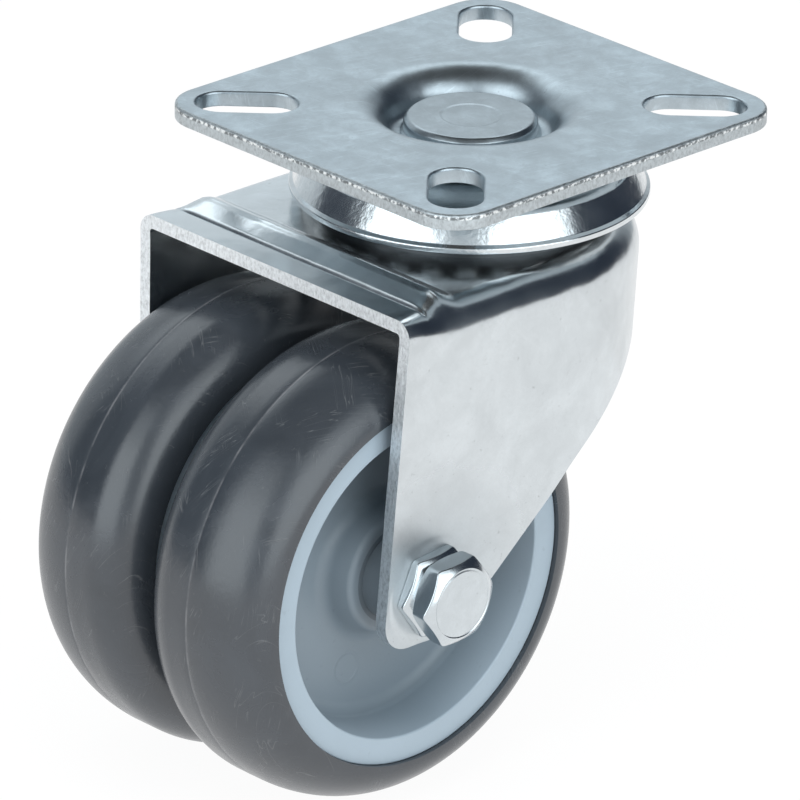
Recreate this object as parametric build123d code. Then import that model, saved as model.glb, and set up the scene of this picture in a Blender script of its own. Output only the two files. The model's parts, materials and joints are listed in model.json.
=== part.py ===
"""Twin-wheel swivel castor with a slotted top plate.

Origin: where the swivel axis meets the mounting face of the top plate.
+Z is up out of that face, +X points from the wheel axle towards the swivel axis,
and the bolt head is on the -Y side. All sizes are in millimetres.
"""

from build123d import *
import os
from math import cos, pi, radians, sin, tan

# ---- driving dimensions -------------------------------------------------------------
# Wheels and axle
WHEEL_RADIUS = 37.5
AXLE_X = -34.0
AXLE_Z = -62.5
TYRE_INNER_Y = 1.9          # half the gap between the two tyres
TYRE_OUTER_Y = 25.9
TYRE_INNER_SHOULDER = 7.6   # radius of the rounded edge that faces the gap
TYRE_CROWN_Y = 13.9         # where the tread starts to curve into the outer side
RIM_RADIUS = 29.6           # where the tyre is moulded on the hub
RIM_OUTER_Y = 25.1
RIM_INNER_Y = 2.9
BOWL_RADIUS = 25.3
WEB_OUTER_Y = 15.5
WEB_INNER_Y = 12.1
HUB_BOSS_RADIUS = 9.6
HUB_INNER_Y = 2.0
HUB_OUTER_Y = 20.4          # outer end of the boss

# Axle pieces
AXLE_TUBE_RADIUS = 6.0
BOLT_RADIUS = 4.0
BUSH_RADIUS = 8.0
HEX_ACROSS_FLATS = 13.0
HEX_TURN = -5.0             # how the head and the thin nut stand, in degrees
BOLT_HEAD_THICKNESS = 4.5
SPACER_THICKNESS = 2.3
LOCK_NUT_THICKNESS = 6.0
NUT_WASHER_THICKNESS = 1.6
RING_RADIUS = 5.0           # plastic ring in the lock nut
RING_POCKET_DEPTH = 1.6
BOLT_TIP = 3.4              # thread showing past the lock nut
THREAD_PITCH = 1.25
THREAD_TURNS = 2
THREAD_DEPTH = 0.6
COLLAR_RADIUS = 7.2
HUB_SPACER_RADIUS = 9.0
WASHER_RADIUS = 8.0
RUNNING_GAP = 0.05

# Fork
SHEET = 2.2
CROWN_Z = -16.0             # top face of the flat crown
CROWN_FRONT_X = -41.5
CROWN_HALF_WIDTH = 30.3
HOOD_START_X = -9.7         # where the straight sides end and the rounded hood starts
HOOD_LENGTH = 36.9
LEG_LEAN = 0.0447           # how far the legs lean inwards per mm of height
BEND_RADIUS = 3.0
LEG_FOOT_Z = -71.2
LEG_FOOT_FRONT_X = -43.6
LEG_FOOT_REAR_X = -28.4
LEG_KNEE_X = -4.0           # where the rear edge of the legs turns less steep
LEG_CUT_SLOPE = 0.885       # slope of the rear edge below the knee
HOOD_CUT_SLOPE = 0.6        # and above it, round the hood
PAD_RADIUS = 8.6
PAD_FACE_Y = 28.4
RIB_X = -32.9
RIB_WIDTH = 7.2
RIB_HEIGHT = 1.3
RIB_HALF_LENGTH = 25.0

# Swivel head
PLATE_LENGTH = 71.6         # along X
PLATE_WIDTH = 66.4          # along Y
PLATE_THICKNESS = 2.5
PLATE_CORNER = 7.2
SLOT_X = 25.7
SLOT_Y = 23.3
SLOT_LENGTH = 16.0
SLOT_WIDTH = 8.4
DISH_DEPTH = 5.3
DISH_FLOOR_RADIUS = 12.5
DISH_MOUTH_RADIUS = 14.9
DISH_BENDS = [2.0, 5.2]     # rounding at the dish's floor and at its mouth
DISH_BLANK_RADIUS = 24.0    # the part of the plate that is pressed with the dish
KING_HEAD_RADIUS = 10.5
KING_HEAD_TOP_Z = -1.9
KING_SHANK_RADIUS = 6.0
KING_FLANGE_RADIUS = 11.0
KING_CHAMFER = 0.9
KING_TAIL_RADIUS = 8.5
KING_TAIL_HEIGHT = 2.7
SLEEVE_RADIUS = 7.6
FORK_HOLE_RADIUS = 8.2
CAP_RADIUS = 27.6
CAP_CORNER = 1.6            # rounded top edge of the cap
CAP_DRAFT = 2.2             # how much narrower the cap is at its top
CAP_LIP_WIDTH = 0.5
CAP_SHEET = 1.3
CAP_LIP_Z = -13.8
NECK_RADIUS = 23.8
BALL_RADIUS = 2.5
GROOVE_RADIUS = 2.6
BALL_STANDOFF = 2.0         # from a ball's centre to the sheet it rolls on
UPPER_PITCH_RADIUS = 20.5
UPPER_BALL_COUNT = 24
LOWER_PITCH_RADIUS = 16.2
LOWER_BALL_COUNT = 19
LOWER_RACE_RADIUS = 20.8
LOWER_RACE_SHEET = 1.8

# ---- heights that follow ------------------------------------------------------------
DISH_FLOOR_UNDER_Z = -DISH_DEPTH - PLATE_THICKNESS
CAP_UNDER_Z = DISH_FLOOR_UNDER_Z - CAP_SHEET
UPPER_BALL_Z = CAP_UNDER_Z - BALL_STANDOFF
NECK_TOP_Z = UPPER_BALL_Z - BALL_STANDOFF
NECK_UNDER_Z = NECK_TOP_Z - SHEET
LOWER_BALL_Z = NECK_UNDER_Z - BALL_STANDOFF
LOWER_RACE_TOP_Z = LOWER_BALL_Z - BALL_STANDOFF
LOWER_RACE_UNDER_Z = LOWER_RACE_TOP_Z - LOWER_RACE_SHEET
PAD_INNER_Y = PAD_FACE_Y - SHEET


# ---- helpers ------------------------------------------------------------------------
def turned(profile):
    """A solid turned about the swivel axis from (radius, height) points."""
    return revolve(Plane.XZ * make_face(Polyline(*profile, close=True)), Axis.Z)


def axle_turned(profile):
    """A solid turned about the wheel axle from (y, radius) points."""
    face = make_face(Polyline(*[(radius, y) for y, radius in profile], close=True))
    return on_axle(revolve(Plane.XZ * face, Axis.Z))


def on_axle(solid):
    """Turns a solid made about Z so that its +Z is +Y along the wheel axle."""
    return Pos(AXLE_X, 0, AXLE_Z) * Rot(-90, 0, 0) * solid


def far_side(solid):
    """The mirror image of a near-side solid."""
    return mirror(solid, about=Plane.XZ)


def tube(outer, inner, start, end):
    """A tube, or a disc where inner is 0, along the wheel axle between two Y positions."""
    return axle_turned([(start, inner), (start, outer), (end, outer), (end, inner)])


def groove(pitch_radius, height):
    """The ring that a ball set's raceway is pressed to."""
    return Pos(0, 0, height) * Torus(pitch_radius, GROOVE_RADIUS)


def step_face(radius_1, height_1, radius_2, height_2, thickness):
    """Corner points of both faces of a sheet that steps up between two flat levels."""
    slope = Vector(radius_2 - radius_1, height_2 - height_1).get_angle(Vector(1, 0))
    shift = thickness * tan(radians(slope) / 2)
    upper = [(radius_1, height_1), (radius_2, height_2)]
    lower = [(radius_2 + shift, height_2 - thickness), (radius_1 + shift, height_1 - thickness)]
    return upper, lower


# ---- swivel head --------------------------------------------------------------------
def top_plate():
    """Pressed plate: rounded corners, four diagonal slots and a dish for the rivet head."""
    outline = RectangleRounded(PLATE_LENGTH, PLATE_WIDTH, PLATE_CORNER)
    sheet = extrude(Pos(0, 0, -PLATE_THICKNESS) * outline, PLATE_THICKNESS)
    for side_x in (-1, 1):
        for side_y in (-1, 1):
            turn = 45 * side_x * side_y
            slot = Rot(0, 0, turn) * SlotOverall(SLOT_LENGTH, SLOT_WIDTH)
            slot = Pos(side_x * SLOT_X, side_y * SLOT_Y) * slot
            sheet -= extrude(Pos(0, 0, -PLATE_THICKNESS) * slot, PLATE_THICKNESS)
    upper, lower = step_face(DISH_FLOOR_RADIUS, -DISH_DEPTH, DISH_MOUTH_RADIUS, 0, PLATE_THICKNESS)
    rim = DISH_BLANK_RADIUS
    top = FilletPolyline((0, -DISH_DEPTH), *upper, (rim, 0), radius=DISH_BENDS)
    under = FilletPolyline((rim, -PLATE_THICKNESS), *lower, (0, DISH_FLOOR_UNDER_Z), radius=DISH_BENDS)
    ends = [Line((rim, 0), (rim, -PLATE_THICKNESS)), Line((0, DISH_FLOOR_UNDER_Z), (0, -DISH_DEPTH))]
    dish = revolve(Plane.XZ * make_face([*top.edges(), *under.edges(), *ends]), Axis.Z)
    blank = extrude(Pos(0, 0, -PLATE_THICKNESS) * Circle(rim), PLATE_THICKNESS)
    hole = extrude(Pos(0, 0, DISH_FLOOR_UNDER_Z) * Circle(KING_SHANK_RADIUS), PLATE_THICKNESS)
    return sheet - blank + dish - hole


def king_pin():
    """Flanged rivet that holds the head together, closed over under the lower race."""
    head_under = -DISH_DEPTH
    tail_end = LOWER_RACE_UNDER_Z - KING_TAIL_HEIGHT
    tail_face_radius = KING_TAIL_RADIUS - 2.4
    flange_top = head_under + 0.8
    profile = [
        (0, tail_end),
        (tail_face_radius, tail_end),
        (KING_TAIL_RADIUS, LOWER_RACE_UNDER_Z - 1.0),
        (KING_TAIL_RADIUS, LOWER_RACE_UNDER_Z),
        (KING_SHANK_RADIUS, LOWER_RACE_UNDER_Z),
        (KING_SHANK_RADIUS, head_under),
        (KING_FLANGE_RADIUS, head_under),
        (KING_FLANGE_RADIUS, flange_top),
        (KING_HEAD_RADIUS, flange_top + 0.3),
        (KING_HEAD_RADIUS, KING_HEAD_TOP_Z - KING_CHAMFER),
        (KING_HEAD_RADIUS - KING_CHAMFER, KING_HEAD_TOP_Z),
        (0, KING_HEAD_TOP_Z),
    ]
    return turned(profile)


def swivel_cap():
    """Inverted pressed cup under the plate: upper ball race and dust cover in one."""
    top = DISH_FLOOR_UNDER_Z
    inner = CAP_RADIUS - CAP_SHEET
    outside = FilletPolyline(
        (KING_SHANK_RADIUS, top),
        (CAP_RADIUS - CAP_DRAFT, top),
        (CAP_RADIUS, CAP_LIP_Z),
        radius=CAP_CORNER,
    )
    inside = FilletPolyline(
        (inner, CAP_LIP_Z),
        (inner - CAP_DRAFT, CAP_UNDER_Z),
        (KING_SHANK_RADIUS, CAP_UNDER_Z),
        radius=CAP_CORNER - CAP_SHEET,
    )
    ends = [
        Line((CAP_RADIUS, CAP_LIP_Z), (inner, CAP_LIP_Z)),
        Line((KING_SHANK_RADIUS, CAP_UNDER_Z), (KING_SHANK_RADIUS, top)),
    ]
    cup = revolve(Plane.XZ * make_face([*outside.edges(), *inside.edges(), *ends]), Axis.Z)
    wall = CAP_RADIUS - CAP_SHEET / 2
    lip = turned([
        (wall, CAP_LIP_Z),
        (CAP_RADIUS + CAP_LIP_WIDTH, CAP_LIP_Z),
        (CAP_RADIUS + CAP_LIP_WIDTH, CAP_LIP_Z + 0.5),
        (wall, CAP_LIP_Z + 0.9),
    ])
    return cup + lip - groove(UPPER_PITCH_RADIUS, UPPER_BALL_Z)


def spacer_sleeve():
    """Sleeve on the rivet that sets the distance between the two fixed races."""
    return turned([
        (KING_SHANK_RADIUS, LOWER_RACE_TOP_Z),
        (SLEEVE_RADIUS, LOWER_RACE_TOP_Z),
        (SLEEVE_RADIUS, CAP_UNDER_Z),
        (KING_SHANK_RADIUS, CAP_UNDER_Z),
    ])


def lower_race():
    """Pressed cup that carries the lower balls."""
    rim_inner = LOWER_RACE_RADIUS - LOWER_RACE_SHEET
    cup = turned([
        (KING_SHANK_RADIUS, LOWER_RACE_UNDER_Z),
        (LOWER_RACE_RADIUS - 0.8, LOWER_RACE_UNDER_Z),
        (LOWER_RACE_RADIUS, LOWER_RACE_UNDER_Z + 0.8),
        (LOWER_RACE_RADIUS, LOWER_BALL_Z),
        (rim_inner, LOWER_BALL_Z),
        (rim_inner, LOWER_RACE_TOP_Z),
        (KING_SHANK_RADIUS, LOWER_RACE_TOP_Z),
    ])
    return cup - groove(LOWER_PITCH_RADIUS, LOWER_BALL_Z)


def ball_set(count, pitch_radius, height):
    """A full ring of loose steel balls."""
    places = PolarLocations(pitch_radius, count)
    return Compound([Pos(0, 0, height) * place * Sphere(BALL_RADIUS) for place in places])


# ---- fork ---------------------------------------------------------------------------
def fork_plan(half_width, hood_length, height):
    """Plan outline of the fork: open front, straight sides and a rounded hood."""
    front = CROWN_FRONT_X - 12
    start = HOOD_START_X
    path = Polyline(
        (start, half_width),
        (front, half_width),
        (front, -half_width),
        (start, -half_width),
    )
    hood = EllipticalCenterArc((start, 0), hood_length, half_width, start_angle=-90, arc_size=180)
    return Pos(0, 0, height) * make_face([*path.edges(), hood.edge()])


def fork_block(inset, bend):
    """Solid block of the fork's outside, or of its inside when inset by the sheet."""
    top = CROWN_Z - inset
    base = LEG_FOOT_Z - 6
    lean = LEG_LEAN * (top - base)
    half_width = CROWN_HALF_WIDTH - inset
    hood_length = HOOD_LENGTH - inset
    block = loft([
        fork_plan(half_width, hood_length, top),
        fork_plan(half_width - lean, hood_length - lean, base),
    ], ruled=True)
    crown_edges = block.faces().sort_by(Axis.Z)[-1].edges()
    front_x = crown_edges.sort_by(Axis.X)[0].center().X
    return fillet([edge for edge in crown_edges if edge.center().X > front_x + 1], bend)


def leg_profile():
    """Side outline of the fork: crown, slanting front, rounded foot and the rear cut."""
    knee_z = LEG_FOOT_Z + (LEG_KNEE_X - LEG_FOOT_REAR_X) * LEG_CUT_SLOPE
    rear_x = 40.0
    rear_z = knee_z + (rear_x - LEG_KNEE_X) * HOOD_CUT_SLOPE
    top = CROWN_Z + 5
    outline = FilletPolyline(
        (rear_x, top),
        (CROWN_FRONT_X, top),
        (CROWN_FRONT_X, CROWN_Z - 4),
        (LEG_FOOT_FRONT_X, LEG_FOOT_Z),
        (LEG_FOOT_REAR_X, LEG_FOOT_Z),
        (LEG_KNEE_X, knee_z),
        (rear_x, rear_z),
        radius=[0.5, 0.5, 5.0, 5.5, 30.0],
    )
    side = make_face([*outline.edges(), Line((rear_x, rear_z), (rear_x, top))])
    return extrude(Plane.XZ * side, 45, both=True)


def stiffening_rib(grow):
    """Raised bead across the crown, as a rounded bar sunk into it."""
    bar_radius = ((RIB_WIDTH / 2) ** 2 + RIB_HEIGHT ** 2) / (2 * RIB_HEIGHT) + grow
    centre_z = CROWN_Z + RIB_HEIGHT + grow - bar_radius
    bar = Rot(90, 0, 0) * Cylinder(bar_radius, 2 * RIB_HALF_LENGTH)
    for side in (-1, 1):
        bar += Pos(0, side * RIB_HALF_LENGTH, 0) * Sphere(bar_radius)
    return Pos(RIB_X, 0, centre_z) * bar


def neck(inset):
    """Raised round step in the crown that carries both raceways."""
    radius = NECK_RADIUS - inset
    top = NECK_TOP_Z - inset
    base = CROWN_Z - inset
    flare = 1.2
    edge = 1.0
    return turned([
        (0, base),
        (radius + flare, base),
        (radius, base + flare),
        (radius, top - edge),
        (radius - edge, top),
        (0, top),
    ])


def axle_pad():
    """Round pad pressed out of the near leg, square to the axle."""
    edge = 0.5
    return axle_turned([
        (-PAD_FACE_Y, 0),
        (-PAD_FACE_Y, PAD_RADIUS - edge),
        (-PAD_FACE_Y + edge, PAD_RADIUS),
        (-PAD_INNER_Y, PAD_RADIUS),
        (-PAD_INNER_Y, 0),
    ])


def fork():
    """Pressed steel fork: crown with neck and rib, two leaning legs and a rear hood."""
    outside = fork_block(0, BEND_RADIUS) & leg_profile()
    outside += stiffening_rib(0) & Pos(0, 0, CROWN_Z) * Box(100, 2 * CROWN_HALF_WIDTH, 4)
    outside += neck(0)
    near_pad = axle_pad()
    outside += near_pad + far_side(near_pad)
    inside = fork_block(SHEET, BEND_RADIUS - SHEET)
    inside += neck(SHEET) + stiffening_rib(-SHEET)
    shell = outside - inside
    clear = 3.0
    near_seat = tube(PAD_RADIUS, 0, -PAD_FACE_Y - clear, -PAD_FACE_Y)
    near_recess = tube(PAD_RADIUS, 0, -PAD_INNER_Y, 0)
    shell -= near_seat + far_side(near_seat)
    shell -= near_recess + far_side(near_recess)
    shell -= tube(BOLT_RADIUS, 0, -PAD_FACE_Y - clear, PAD_FACE_Y + clear)
    shell -= Pos(0, 0, CROWN_Z) * Cylinder(FORK_HOLE_RADIUS, 20)
    shell -= groove(UPPER_PITCH_RADIUS, UPPER_BALL_Z)
    shell -= groove(LOWER_PITCH_RADIUS, LOWER_BALL_Z)
    return shell


# ---- axle pieces --------------------------------------------------------------------
def hexagon(start, thickness, chamfered_ends, turn):
    """Hexagonal block on the axle with its corners chamfered at the named ends."""
    corner_radius = HEX_ACROSS_FLATS / 2 / cos(pi / 6)
    block = extrude(Rot(0, 0, turn) * RegularPolygon(corner_radius, 6), thickness)
    depth = 0.9
    face_radius = HEX_ACROSS_FLATS / 2 * 0.93
    reach = face_radius + depth / tan(radians(30))
    low = [(reach, 0)]
    high = [(reach, thickness)]
    if "start" in chamfered_ends:
        low = [(face_radius, 0), (reach, depth)]
    if "end" in chamfered_ends:
        high = [(reach, thickness - depth), (face_radius, thickness)]
    keep = turned([(0, 0), *low, *high, (0, thickness)])
    return Pos(0, start, 0) * on_axle(block & keep)


def axle_bolt():
    """Hex-head bolt through both legs, with a few turns of thread past the lock nut."""
    head_start = -PAD_FACE_Y - SPACER_THICKNESS - BOLT_HEAD_THICKNESS
    nut_end = PAD_FACE_Y + NUT_WASHER_THICKNESS + LOCK_NUT_THICKNESS
    tip = nut_end + BOLT_TIP
    head = hexagon(head_start, BOLT_HEAD_THICKNESS, ("start", "end"), HEX_TURN)
    shank = axle_turned([
        (head_start + 1, 0),
        (head_start + 1, BOLT_RADIUS),
        (tip - 0.8, BOLT_RADIUS),
        (tip, BOLT_RADIUS - 0.8),
        (tip, 0),
    ])
    bolt = head + shank
    for turn_index in range(THREAD_TURNS):
        start = nut_end + 0.1 + turn_index * THREAD_PITCH
        bolt -= axle_turned([
            (start, BOLT_RADIUS + 0.1),
            (start + THREAD_PITCH, BOLT_RADIUS + 0.1),
            (start + THREAD_PITCH / 2, BOLT_RADIUS - THREAD_DEPTH),
        ])
    return bolt


def hex_spacer():
    """Thin hexagonal nut between the bolt head and the near leg."""
    body = hexagon(-PAD_FACE_Y - SPACER_THICKNESS, SPACER_THICKNESS, ("start",), HEX_TURN)
    return body - tube(BOLT_RADIUS, 0, -PAD_FACE_Y - SPACER_THICKNESS, -PAD_FACE_Y)


def nut_washer():
    """Flat washer under the lock nut on the far leg."""
    return tube(WASHER_RADIUS, BOLT_RADIUS, PAD_FACE_Y, PAD_FACE_Y + NUT_WASHER_THICKNESS)


def lock_nut():
    """Lock nut: hexagon with a raised collar that holds a plastic ring."""
    start = PAD_FACE_Y + NUT_WASHER_THICKNESS
    end = start + LOCK_NUT_THICKNESS
    hexagon_part = hexagon(start, LOCK_NUT_THICKNESS - RING_POCKET_DEPTH, ("start",), 0)
    collar_radius = RING_RADIUS + 1.0
    collar = axle_turned([
        (end - 2.0, 0),
        (end - 2.0, collar_radius),
        (end - 0.6, collar_radius),
        (end, collar_radius - 0.6),
        (end, 0),
    ])
    nut = hexagon_part + collar
    nut -= tube(BOLT_RADIUS, 0, start, end)
    return nut - tube(RING_RADIUS, 0, end - RING_POCKET_DEPTH, end)


def lock_nut_ring():
    """Plastic locking ring in the collar of the lock nut."""
    end = PAD_FACE_Y + NUT_WASHER_THICKNESS + LOCK_NUT_THICKNESS
    return tube(RING_RADIUS, BOLT_RADIUS, end - RING_POCKET_DEPTH, end - 0.3)


def axle_tube():
    """Distance tube clamped between the legs, on which both wheels run."""
    return tube(AXLE_TUBE_RADIUS, BOLT_RADIUS, -PAD_INNER_Y, PAD_INNER_Y)


def hub_spacer():
    """Ring on the axle tube that keeps the two hubs apart."""
    half = HUB_INNER_Y - RUNNING_GAP
    return tube(HUB_SPACER_RADIUS, AXLE_TUBE_RADIUS, -half, half)


def thrust_collar():
    """Collar on the axle tube between the near hub's boss and the near leg."""
    return tube(COLLAR_RADIUS, AXLE_TUBE_RADIUS, -PAD_INNER_Y, -HUB_OUTER_Y - RUNNING_GAP)


# ---- near wheel ---------------------------------------------------------------------
def hub():
    """Moulded hub: rim band, deep dished bowl, web and central boss, with rounded corners."""
    boss_foot = HUB_BOSS_RADIUS + 1.6
    bowl_foot = BOWL_RADIUS - 0.8
    corners = [
        ((HUB_BOSS_RADIUS, -HUB_OUTER_Y), 1.2),
        ((boss_foot, -WEB_OUTER_Y), 2.6),
        ((bowl_foot, -WEB_OUTER_Y), 2.2),
        ((BOWL_RADIUS, -RIM_OUTER_Y), 0.3),
        ((RIM_RADIUS, -RIM_OUTER_Y), 0.2),
        ((RIM_RADIUS, -RIM_INNER_Y), 0.2),
        ((BOWL_RADIUS, -RIM_INNER_Y), 0.3),
        ((bowl_foot, -WEB_INNER_Y), 2.2),
        ((boss_foot, -WEB_INNER_Y), 2.6),
        ((HUB_BOSS_RADIUS, -HUB_INNER_Y), 0.4),
    ]
    points = [point for point, radius in corners]
    radii = [radius for point, radius in corners]
    start = (BUSH_RADIUS, -HUB_OUTER_Y)
    end = (BUSH_RADIUS, -HUB_INNER_Y)
    outline = FilletPolyline(start, *points, end, radius=radii)
    section = make_face([*outline.edges(), Line(end, start)])
    return on_axle(revolve(Plane.XZ * section, Axis.Z))


def tyre():
    """Moulded tyre: rounded outer side, nearly flat tread and rounded inner edge."""
    side_height = WHEEL_RADIUS - RIM_RADIUS
    outer_depth = TYRE_OUTER_Y - TYRE_CROWN_Y
    shoulder = TYRE_INNER_SHOULDER
    inner_start = (WHEEL_RADIUS - shoulder, -TYRE_INNER_Y)
    inner_end = (WHEEL_RADIUS, -TYRE_INNER_Y - shoulder)
    halfway = shoulder * sin(radians(45))
    inner_mid = (WHEEL_RADIUS - shoulder + halfway, -TYRE_INNER_Y - shoulder + halfway)
    crown_end = (WHEEL_RADIUS, -TYRE_CROWN_Y)
    centre = (RIM_RADIUS, -TYRE_CROWN_Y)
    outer_curve = EllipticalCenterArc(centre, side_height, outer_depth, start_angle=-90, arc_size=90)
    outline = [
        Line((RIM_RADIUS, -TYRE_OUTER_Y), (RIM_RADIUS, -TYRE_INNER_Y)),
        Line((RIM_RADIUS, -TYRE_INNER_Y), inner_start),
        ThreePointArc(inner_start, inner_mid, inner_end),
        Line(inner_end, crown_end),
        outer_curve,
    ]
    face = make_face([piece.edge() for piece in outline])
    return on_axle(revolve(Plane.XZ * face, Axis.Z))


def wheel_bush():
    """Plain bearing bush pressed in the hub, running on the axle tube."""
    return tube(BUSH_RADIUS, AXLE_TUBE_RADIUS + RUNNING_GAP, -HUB_OUTER_Y, -HUB_INNER_Y)


# ---- write the nodes ----------------------------------------------------------------
def main():
    near_hub, near_tyre, near_bush = hub(), tyre(), wheel_bush()
    near_collar = thrust_collar()
    nodes = {
        "top_plate": top_plate(),
        "king_pin": king_pin(),
        "swivel_cap": swivel_cap(),
        "spacer_sleeve": spacer_sleeve(),
        "lower_race": lower_race(),
        "upper_balls": ball_set(UPPER_BALL_COUNT, UPPER_PITCH_RADIUS, UPPER_BALL_Z),
        "lower_balls": ball_set(LOWER_BALL_COUNT, LOWER_PITCH_RADIUS, LOWER_BALL_Z),
        "fork": fork(),
        "axle_bolt": axle_bolt(),
        "hex_spacer": hex_spacer(),
        "nut_washer": nut_washer(),
        "lock_nut": lock_nut(),
        "lock_nut_ring": lock_nut_ring(),
        "axle_tube": axle_tube(),
        "hub_spacer": hub_spacer(),
        "near_thrust_collar": near_collar,
        "far_thrust_collar": far_side(near_collar),
        "near_hub": near_hub,
        "near_tyre": near_tyre,
        "near_bush": near_bush,
        "far_hub": far_side(near_hub),
        "far_tyre": far_side(near_tyre),
        "far_bush": far_side(near_bush),
    }
    os.makedirs("parts", exist_ok=True)
    for name, shape in nodes.items():
        export_step(shape, f"parts/{name}.step")


main()
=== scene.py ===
"""Looks for the twin-wheel swivel castor: turned, pressed and moulded pieces, materials, studio, camera.

Lengths in the mesh code are millimetres in the CAD frame; make_piece turns them into metres.
"""
import json
import math

import bmesh
import bpy
from mathutils import Matrix, Vector


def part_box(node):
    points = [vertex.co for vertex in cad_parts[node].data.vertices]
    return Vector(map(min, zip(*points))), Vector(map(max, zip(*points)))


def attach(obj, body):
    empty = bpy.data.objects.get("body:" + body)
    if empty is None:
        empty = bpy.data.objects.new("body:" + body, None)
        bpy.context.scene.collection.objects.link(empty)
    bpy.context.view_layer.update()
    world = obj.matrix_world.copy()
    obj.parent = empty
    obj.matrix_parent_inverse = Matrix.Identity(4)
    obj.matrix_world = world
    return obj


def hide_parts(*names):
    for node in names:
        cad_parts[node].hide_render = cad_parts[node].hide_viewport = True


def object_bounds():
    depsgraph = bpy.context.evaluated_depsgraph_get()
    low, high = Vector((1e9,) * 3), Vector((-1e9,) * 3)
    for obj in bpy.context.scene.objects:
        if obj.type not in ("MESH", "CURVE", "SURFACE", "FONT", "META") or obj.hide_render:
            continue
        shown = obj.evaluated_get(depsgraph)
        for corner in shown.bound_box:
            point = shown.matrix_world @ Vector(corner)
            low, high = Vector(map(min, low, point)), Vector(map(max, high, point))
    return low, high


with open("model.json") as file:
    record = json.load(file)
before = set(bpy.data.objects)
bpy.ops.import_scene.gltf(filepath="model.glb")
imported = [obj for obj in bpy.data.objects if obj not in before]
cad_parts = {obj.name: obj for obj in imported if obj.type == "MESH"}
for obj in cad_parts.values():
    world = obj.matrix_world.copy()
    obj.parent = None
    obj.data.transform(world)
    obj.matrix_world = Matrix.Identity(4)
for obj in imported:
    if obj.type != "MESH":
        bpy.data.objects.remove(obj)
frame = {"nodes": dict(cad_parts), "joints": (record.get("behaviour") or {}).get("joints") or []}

cad_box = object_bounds()
MM = 0.001
nodes = frame["nodes"]
joints = {joint["name"]: joint for joint in frame["joints"]}


def box_mm(node):
    """Lowest and highest corners of a CAD node, in millimetres."""
    return [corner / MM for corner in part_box(node)]


# ---- sizes from the frame, in millimetres -------------------------------------------
AXLE = Vector(joints["near_wheel_spin"]["pos_m"]) / MM
TYRE_LOW, TYRE_HIGH = box_mm("near_tyre")
HUB_LOW, HUB_HIGH = box_mm("near_hub")
BUSH_LOW, BUSH_HIGH = box_mm("near_bush")
TUBE_LOW, TUBE_HIGH = box_mm("axle_tube")
PLATE_HIGH = box_mm("top_plate")[1]
CAP_LOW, CAP_HIGH = box_mm("swivel_cap")
PIN_LOW, PIN_HIGH = box_mm("king_pin")
RACE_LOW, RACE_HIGH = box_mm("lower_race")
FORK_LOW, FORK_HIGH = box_mm("fork")
BOLT_LOW, BOLT_HIGH = box_mm("axle_bolt")
THIN_NUT_LOW, THIN_NUT_HIGH = box_mm("hex_spacer")
LOCK_NUT_LOW, LOCK_NUT_HIGH = box_mm("lock_nut")

WHEEL_RADIUS = (TYRE_HIGH.z - TYRE_LOW.z) / 2
TYRE_OUTER = -TYRE_LOW.y
TYRE_INNER = -TYRE_HIGH.y
RIM_RADIUS = (HUB_HIGH.z - HUB_LOW.z) / 2
RIM_OUTER = -HUB_LOW.y
HUB_INNER = -HUB_HIGH.y
BOSS_FACE = -BUSH_LOW.y
BORE = (BUSH_HIGH.z - BUSH_LOW.z) / 2
BOLT_RADIUS = (TUBE_HIGH.z - TUBE_LOW.z) / 3        # the tube is one and a half bolts across
HEX_ACROSS = LOCK_NUT_HIGH.z - LOCK_NUT_LOW.z
PAD_FACE = -THIN_NUT_HIGH.y                         # depth of a leg's outer face at its pressed pad

# ---- details that the frame's boxes don't give --------------------------------------
TYRE_CROWN = 13.9           # depth at which the tread starts to curve into the outer side
TYRE_SHOULDER = 7.6
PARTING_DEPTH = TYRE_CROWN - 0.2
BOWL_RADIUS = 25.3
WEB_OUTER = 15.5
WEB_INNER = 12.1
BOSS_RADIUS = 9.6
HUB_RIM_SETBACK = 0.9       # from the boss's inner end to the rim's inner edge
HEX_TURN = 5.0              # turn of the bolt's head and the thin nut, in degrees

PLATE_SHEET = 2.5
PLATE_CORNER = 7.2
EDGE_ROLL = 0.45            # the plate's upper edges are rolled over by the shears
EDGE_BURR = 0.12
SLOT_CENTRE = (25.7, 23.3)
SLOT_LENGTH = 16.0
SLOT_WIDTH = 8.4
DISH_BLANK = 24.0           # the dish and the flat ring round it are turned, out to this radius
DISH_DEPTH = 5.3
SHANK_RADIUS = 6.0          # the rivet's shank, and the holes that it passes through
RACE_SHEET = 1.8
BALL_PITCH = 20.5           # radius of the upper ring of balls

FORK_SHEET = 2.2
FRONT_BEND = 3.0            # outer bend radius at the open front
CROWN_Z = -16.0
CROWN_FRONT = -41.5
CROWN_HALF = 30.3
HOOD_START = -9.7
HOOD_LENGTH = 36.9
NECK_RADIUS = 23.8
CROWN_HOLE = NECK_RADIUS - 0.8      # the crown ends here, inside the neck's wall
LEG_LEAN = 0.0447           # how far a leg draws in for each millimetre down
FOOT_FRONT = -43.6
FOOT_REAR = -28.4
KNEE_X = -4.0
CUT_SLOPE = 0.885           # rise of the leg's rear edge up to the knee, and of the hood's edge after it
HOOD_SLOPE = 0.6
PAD_RADIUS = 8.6
CREASE_X = -36.4
RIB_CREST_X = -32.2
RIB_END_X = -28.3
RIB_HEIGHT = 1.7
HOOD_STATION = 0.6          # stations for each degree of the hood's quarter turn
LAST_STATION = HOOD_START + 90 * HOOD_STATION


# ---- camera -------------------------------------------------------------------------
def direction(azimuth, elevation):
    """Unit vector at an azimuth and elevation in degrees. Azimuth 0 is along -Y and 90 along +X."""
    around, up = math.radians(azimuth), math.radians(elevation)
    return Vector((math.sin(around) * math.cos(up), -math.cos(around) * math.cos(up), math.sin(up)))


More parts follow.
